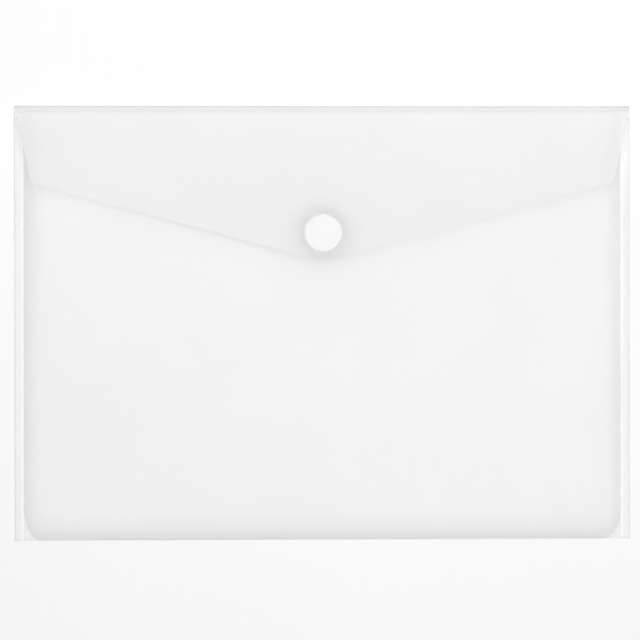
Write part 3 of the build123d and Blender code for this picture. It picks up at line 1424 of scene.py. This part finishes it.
@dataclass
class Coin:
    """One half of the fastener: an adhesive film, a woven tape and the strands on it."""

    upwards: ClassVar[bool]
    field_name: ClassVar[str]
    slot: ClassVar[Slot]

    palette: Palette
    prefix: str
    strands_node: str
    body: Body
    seed: int
    pitch: float
    scatter: float
    wire_sides: int
    wire_radius: float
    film_gap: float = 0.02 * MM
    edge_bevel: float = 0.06 * MM
    bevel_steps: int = 3
    sides: int = 96
    rim: float = 0.5 * MM
    root_sides: int = 64
    root_bevel: float = 0.02 * MM
    root_bevel_steps: int = 1
    root_sink: float = 0.02 * MM
    root_rise: float = 0.08 * MM
    smooth_deg: float = 50.0

    def finish(self) -> Material:
        """The finish of the strands."""
        raise NotImplementedError

    def strand(self, height: float) -> Piece:
        """Model one strand of a height, standing on the origin."""
        raise NotImplementedError

    def stance(self, number: int, rng: random.Random) -> Matrix:
        """The turn, lean and size of a strand, by its number."""
        raise NotImplementedError

    def disc(self, kind: str, layer: str, trims: tuple[float, float], bevel: float) -> Piece:
        """Turn one round layer.

        Args:
            kind: The end of the piece's name.
            layer: The end of the name of the node that gives its place and size.
            trims: How far its lower and its upper face keep off the node's.
            bevel: The width of the eased edge.

        Returns:
            The layer, without a finish.
        """
        low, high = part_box(f"{self.prefix}_{layer}")
        foot = Vector(((low.x + high.x) / 2, (low.y + high.y) / 2, low.z + trims[0]))
        radius, top_z = (high.x - low.x) / 2, high.z - trims[1]
        name = f"{self.prefix}_{kind}"
        piece = eased_disc(name, foot, top_z, radius, self.sides, bevel, self.bevel_steps)
        smooth(piece)
        return piece

    def build_layers(self) -> None:
        """Build the adhesive film and the tape."""
        gaps = (self.film_gap, self.film_gap / 2)
        film = self.disc(
            "film", "adhesive", gaps if self.upwards else gaps[::-1], self.edge_bevel / 2
        )
        dress(film, Slot.ADHESIVE, [f"{self.prefix}_adhesive"], self.palette.acrylic)
        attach(film, self.body.value)
        tape = self.disc("disc", "tape", (0.0, 0.0), self.edge_bevel)
        dress(tape, Slot.TAPE, [f"{self.prefix}_tape"], self.palette.woven)
        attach(tape, self.body.value)

    def spots(self, reach: float, rng: random.Random) -> list[tuple[float, float]]:
        """Spread places for strands over the coin, in rows that are set off by half a pitch.

        Args:
            reach: How far from the coin's centre a strand may stand.
            rng: Gives the strays.

        Returns:
            The places, about the coin's centre.
        """
        pitch, scatter, row_gap = self.pitch, self.scatter, math.sqrt(0.75)
        count = math.ceil(reach / pitch)
        found = []
        for row in range(-count, count + 1):
            for column in range(-count, count + 1):
                x = (column + row % 2 / 2 + rng.uniform(-scatter, scatter)) * pitch
                y = (row * row_gap + rng.uniform(-scatter, scatter)) * pitch
                if math.hypot(x, y) < reach:
                    found.append((x, y))
        return found

    def plant(self, strand: Piece, places: Sequence[Matrix], foot: Vector, radius: float) -> Piece:
        """Copy a strand to its places and join the copies to a thin root layer.

        Args:
            strand: The strand, modelled once at the origin.
            places: The place, turn and size of each copy.
            foot: The centre of the root layer's lower face.
            radius: The radius of the root layer.

        Returns:
            The joined piece, without a finish.
        """
        top_z = foot.z + self.root_sink + self.root_rise
        ease = self.root_sides, self.root_bevel, self.root_bevel_steps
        root = eased_disc(self.field_name, foot, top_z, radius, *ease)
        copies = []
        for place in places:
            copy = strand.copy()
            copy.data = strand.data.copy()
            copy.data.transform(place)
            bpy.context.collection.objects.link(copy)
            copies.append(copy)
        select_only(root, *copies)
        bpy.ops.object.join()
        bpy.data.objects.remove(strand)
        smooth(root, self.smooth_deg)
        return root

    def build(self) -> None:
        """Build the layers and the field of strands."""
        self.build_layers()
        low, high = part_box(self.strands_node)
        tape_low, tape_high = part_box(f"{self.prefix}_tape")
        face_z = tape_high.z if self.upwards else tape_low.z
        strand = self.strand(high.z - face_z if self.upwards else face_z - low.z)
        rng = random.Random(self.seed)
        centre = (low + high) / 2
        radius = (tape_high.x - tape_low.x) / 2
        places = []
        for number, (x, y) in enumerate(self.spots(radius - self.rim, rng)):
            place = Matrix.Translation((centre.x + x, centre.y + y, face_z))
            places.append(place @ self.stance(number, rng))
        foot = (tape_low + tape_high) / 2
        foot.z = face_z - (self.root_sink if self.upwards else self.root_rise)
        field = self.plant(strand, places, foot, radius - self.rim / 2)
        dress(field, self.slot, [self.strands_node], self.finish())
        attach(field, self.body.value)


@dataclass
class HookCoin(Coin):
    """The half on the front of the pocket, with bent nylon hooks."""

    upwards: ClassVar[bool] = True
    field_name: ClassVar[str] = "hook_field"
    slot: ClassVar[Slot] = Slot.HOOKS

    pitch: float = 1.12 * MM
    scatter: float = 0.05
    wire_sides: int = 5
    wire_radius: float = 0.105 * MM
    crown_radius: float = 0.29 * MM
    crown_deg: float = 200.0
    crown_steps: int = 7
    turn: float = 0.25
    lean: float = 0.08
    shortest: float = 0.92

    def finish(self) -> Material:
        """The finish of the hooks."""
        return self.palette.hooked

    def strand(self, height: float) -> Piece:
        """Model one hook.

        Args:
            height: How high it stands.

        Returns:
            The hook, standing on the origin.
        """
        shaft = height - self.crown_radius - self.wire_radius
        hook = Strand(self.wire_sides, self.wire_radius)
        hook.draw_up(shaft)
        hook.curl((self.crown_radius, 0.0, shaft), self.crown_deg, self.crown_steps)
        return hook.end("hook")

    def stance(self, number: int, rng: random.Random) -> Matrix:
        """Face hooks to the left and to the right by turns, each a little off.

        Args:
            number: The number of the hook.
            rng: Gives the strays.

        Returns:
            The turn, lean and size of the hook.
        """
        turn = math.pi * (number % 2) + rng.uniform(-self.turn, self.turn)
        lean = Matrix.Rotation(rng.uniform(-self.lean, self.lean), 4, "X")
        size = Matrix.Diagonal((1, 1, rng.uniform(self.shortest, 1.0), 1))
        return lean @ Matrix.Rotation(turn, 4, "Z") @ size


@dataclass
class LoopCoin(Coin):
    """The half under the flap, with a nap of curled loops."""

    upwards: ClassVar[bool] = False
    field_name: ClassVar[str] = "loop_nap"
    slot: ClassVar[Slot] = Slot.LOOPS

    pitch: float = 0.82 * MM
    scatter: float = 0.3
    wire_sides: int = 4
    wire_radius: float = 0.05 * MM
    arch_radius: float = 0.36 * MM
    arch_steps: int = 6
    side_lean: float = 0.5
    front_lean: float = 0.4
    widths: tuple[float, float] = (0.8, 1.5)
    heights: tuple[float, float] = (0.6, 0.98)

    def finish(self) -> Material:
        """The finish of the loops."""
        return self.palette.napped

    def strand(self, height: float) -> Piece:
        """Model one loop.

        Args:
            height: How high it stands.

        Returns:
            The loop, standing on the origin.
        """
        leg = height - self.arch_radius - self.wire_radius
        loop = Strand(self.wire_sides, self.wire_radius)
        loop.draw_up(leg)
        loop.curl((self.arch_radius, 0.0, leg), 180.0, self.arch_steps)
        loop.draw_up(-leg)
        return loop.end("loop")

    def stance(self, number: int, rng: random.Random) -> Matrix:
        """Hang a loop upside down, turned, leant and drawn out at random.

        Args:
            number: The number of the loop, which makes no difference.
            rng: Gives the turn, the lean and the size.

        Returns:
            The turn, lean and size of the loop.
        """
        turn = Matrix.Rotation(rng.uniform(0.0, 2 * math.pi), 4, "Z")
        side = Matrix.Rotation(rng.uniform(-self.side_lean, self.side_lean), 4, "Y")
        front = Matrix.Rotation(rng.uniform(-self.front_lean, self.front_lean), 4, "X")
        size = Matrix.Diagonal((rng.uniform(*self.widths), 1, rng.uniform(*self.heights), 1))
        return Matrix.Rotation(math.pi, 4, "X") @ side @ front @ turn @ size


@dataclass
class Studio:
    """Pale floor, soft light from above and the camera over the wallet."""

    palette: Palette
    image_px: float = 640.0
    left_px: float = 14.4
    right_px: float = 629.7
    lens_mm: float = 110.0
    sensor_mm: float = 36.0
    aim_x: float = -1.7 * MM
    aim_y: float = 1.4 * MM
    lean_deg: float = 1.29
    roll_deg: float = -0.09
    floor_size: float = 6.0
    floor_drop: float = 0.1 * MM
    softbox_place: Triple = (0.12, 0.38, 1.28)
    softbox_size: float = 1.8
    softbox_watts: float = 20.3
    surround: float = 0.58
    film_faces: int = 32
    film_bounces: int = 16

    def build_floor(self) -> None:
        """Lay the floor just under the wallet."""
        deselect_all()
        place = (0.0, 0.0, -self.floor_drop)
        bpy.ops.mesh.primitive_plane_add(size=self.floor_size, location=place)
        floor = new_primitive("floor")
        floor.data.materials.append(self.palette.paper)

    def build_lights(self) -> None:
        """Hang a large round softbox that faces the wallet and set an even surround."""
        data = bpy.data.lights.new("softbox", "AREA")
        data.shape = "DISK"
        data.size = self.softbox_size
        data.energy = self.softbox_watts
        softbox = bpy.data.objects.new("softbox", data)
        bpy.context.collection.objects.link(softbox)
        softbox.location = self.softbox_place
        facing = (-Vector(self.softbox_place)).to_track_quat("-Z", "Y")
        softbox.rotation_euler = facing.to_euler()
        world = bpy.data.worlds.new("surround")
        world.use_nodes = True
        sky = world.node_tree.nodes["Background"]
        sky.inputs["Color"].default_value = (1.0, 1.0, 1.0, 1.0)
        sky.inputs["Strength"].default_value = self.surround
        bpy.context.scene.world = world

    def build_camera(self) -> None:
        """Set the camera over the wallet, at the distance that gives the photograph's width."""
        metres_per_px = (CAD_HIGH.x - CAD_LOW.x) / (self.right_px - self.left_px)
        distance = self.lens_mm / self.sensor_mm * metres_per_px * self.image_px
        lean = math.radians(self.lean_deg)
        data = bpy.data.cameras.new("camera")
        data.lens = self.lens_mm
        data.sensor_width = self.sensor_mm
        camera = bpy.data.objects.new("camera", data)
        bpy.context.collection.objects.link(camera)
        x, z = self.aim_x - math.sin(lean) * distance, math.cos(lean) * distance
        camera.location = (x, self.aim_y, z)
        camera.rotation_euler = (0.0, -lean, math.radians(self.roll_deg))
        bpy.context.scene.camera = camera

    def let_light_through(self) -> None:
        """Follow light through all the layers of film, and keep the tones as they are."""
        scene = bpy.context.scene
        scene.view_settings.view_transform = "Standard"
        scene.cycles.transparent_max_bounces = self.film_faces
        scene.cycles.diffuse_bounces = self.film_bounces
        scene.cycles.max_bounces = self.film_bounces

    def build(self) -> None:
        """Build the floor, the lights and the camera."""
        self.build_floor()
        self.build_lights()
        self.build_camera()
        self.let_light_through()


def main() -> None:
    """Build the wallet piece by piece, then the studio around it."""
    logging.basicConfig(level=logging.INFO, format="%(message)s")
    palette = Palette()
    Pocket(palette).build()
    fold = TopFold(palette)
    fold.build()
    Flap(palette, fold).build()
    HookCoin(palette, "hook", "hook_filaments", Body.POCKET, seed=11).build()
    LoopCoin(palette, "loop", "loop_pile", Body.FLAP, seed=12).build()
    Studio(palette).build()


if __name__ == "__main__":
    main()
